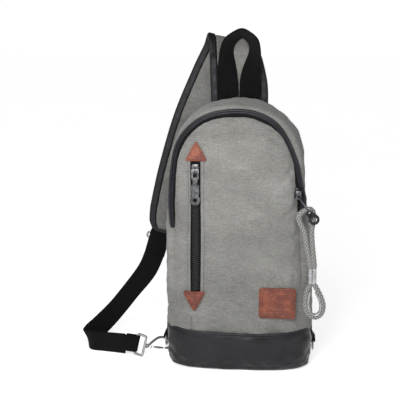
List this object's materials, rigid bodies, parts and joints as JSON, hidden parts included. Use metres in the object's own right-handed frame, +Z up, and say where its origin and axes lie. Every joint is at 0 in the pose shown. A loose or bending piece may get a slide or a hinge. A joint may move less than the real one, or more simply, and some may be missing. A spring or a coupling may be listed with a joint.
{
  "type": "sling bag",
  "caption": "Tall rounded canvas sling bag on a coated base, with arched main zip, zipped front pocket, padded strap, handle and swivel snap hook.",
  "frame": {"origin": "centre of the flat underside of the bag's base, on the ground it stands on", "axes": "+Z up through the bag; +X to the right seen from the front; the front panel with the pocket faces -Y"},
  "size_m": [0.2944, 0.1337, 0.3939],
  "materials": {
    "coated_fabric": "charcoal coated fabric, fine grain, satin",
    "canvas": "grey cotton canvas with a fine plain weave",
    "piping": "dark purple-grey coated piping",
    "webbing": "black woven webbing",
    "mesh": "black padded spacer mesh",
    "lining": "grey polyester lining",
    "foam": "soft closed-cell foam",
    "board": "stiff fibre board",
    "steel": "polished plated zinc",
    "gunmetal": "dark plated zinc",
    "leather_trim": "red-brown leather with a mottled surface",
    "rope": "grey braided cord with dark flecks",
    "zip_teeth": "black moulded coil teeth"
  },
  "bodies": {
    "bag": {"base_wrap": "coated_fabric", "base_board": "board", "base_piping": "piping", "front_panel": "canvas", "gusset": "canvas", "back_panel": "mesh", "back_foam": "foam", "inner_sleeve": "lining", "pocket_pouch": "lining", "zip_facing": "canvas", "main_zip_chain": "zip_teeth", "zip_flap": "piping", "pocket_zip_tape": "webbing", "pocket_zip_chain": "zip_teeth", "leather_triangle_top": "leather_trim", "leather_triangle_bottom": "leather_trim", "leather_patch": "leather_trim", "handle_anchor": "webbing", "strap_pad": "canvas", "pad_binding_left": "coated_fabric", "pad_binding_right": "coated_fabric", "pad_end_tab": "webbing", "pad_ring": "steel", "strap_end_loop": "webbing", "strap_webbing": "webbing", "hook_eye": "steel", "strap_hook_loop": "webbing", "anchor_tab_left": "webbing", "anchor_tab_right": "webbing"},
    "main_slider": {"main_zip_slider": "gunmetal", "main_pull_lug": "gunmetal"},
    "main_pull": {"main_pull_link": "gunmetal", "main_pull_tab": "gunmetal"},
    "rope_pull": {"pull_cord": "rope", "thimble_cord": "rope", "cord_ferrule": "steel", "cord_thimble": "steel"},
    "pocket_slider": {"pocket_zip_slider": "steel", "pocket_pull_bail": "steel"},
    "pocket_tab": {"pocket_pull": "steel"},
    "handle": {"carry_handle": "webbing"},
    "hook": {"hook_swivel": "steel", "hook_body": "steel", "gate_pin": "steel"},
    "gate": {"hook_gate": "steel"},
    "ring_left": {"anchor_ring_left": "steel"},
    "ring_right": {"anchor_ring_right": "steel"}
  },
  "joints": [
    {"name": "main_zip_travel", "type": "hinge", "parent": "bag", "child": "main_slider", "pos_m": [-0.0025, 0, 0.2306], "axis": [0, -1, 0], "range_deg": [0, 105]},
    {"name": "main_pull_swing", "type": "hinge", "parent": "main_slider", "child": "main_pull", "pos_m": [0.06797, -0.0496, 0.21112], "axis": [0, -1, 0], "range_deg": [-106, 1]},
    {"name": "rope_swing", "type": "hinge", "parent": "main_pull", "child": "rope_pull", "pos_m": [0.0764, -0.049, 0.1993], "axis": [0, -1, 0], "range_deg": [0, 12]},
    {"name": "pocket_zip_travel", "type": "slide", "parent": "bag", "child": "pocket_slider", "axis": [0, 0, -1], "range_m": [0, 0.13]},
    {"name": "pocket_pull_swing", "type": "hinge", "parent": "pocket_slider", "child": "pocket_tab", "pos_m": [-0.0472, -0.0504, 0.2394], "axis": [-1, 0, 0], "range_deg": [0, 150]},
    {"name": "handle_fold", "type": "hinge", "parent": "bag", "child": "handle", "pos_m": [0, 0.0453, 0.3136], "axis": [1, 0, 0], "range_deg": [0, 65]},
    {"name": "hook_swivel_turn", "type": "hinge", "parent": "bag", "child": "hook", "pos_m": [-0.11204, -0.00179, 0.01343], "axis": [0.6696, 0.7365, -0.0957], "range_deg": [-6, 6]},
    {"name": "hook_gate_open", "type": "hinge", "parent": "hook", "child": "gate", "pos_m": [-0.10579, 0.00201, 0.01117], "axis": [0.4994, -0.3511, 0.792], "range_deg": [0, 22], "stiffness_Nm_per_rad": 0.01, "springref_deg": -11.46},
    {"name": "left_ring_swing", "type": "hinge", "parent": "bag", "child": "ring_left", "pos_m": [-0.0896, 0.028, 0.02], "axis": [0, 1, 0], "range_deg": [-5, 5]},
    {"name": "right_ring_swing", "type": "hinge", "parent": "bag", "child": "ring_right", "pos_m": [0.09, 0.028, 0.02], "axis": [0, -1, 0], "range_deg": [0, 80]}
  ],
  "couplings": [
    {"joint": "main_pull_swing", "follows": "main_zip_travel", "ratio": -1}
  ]
}
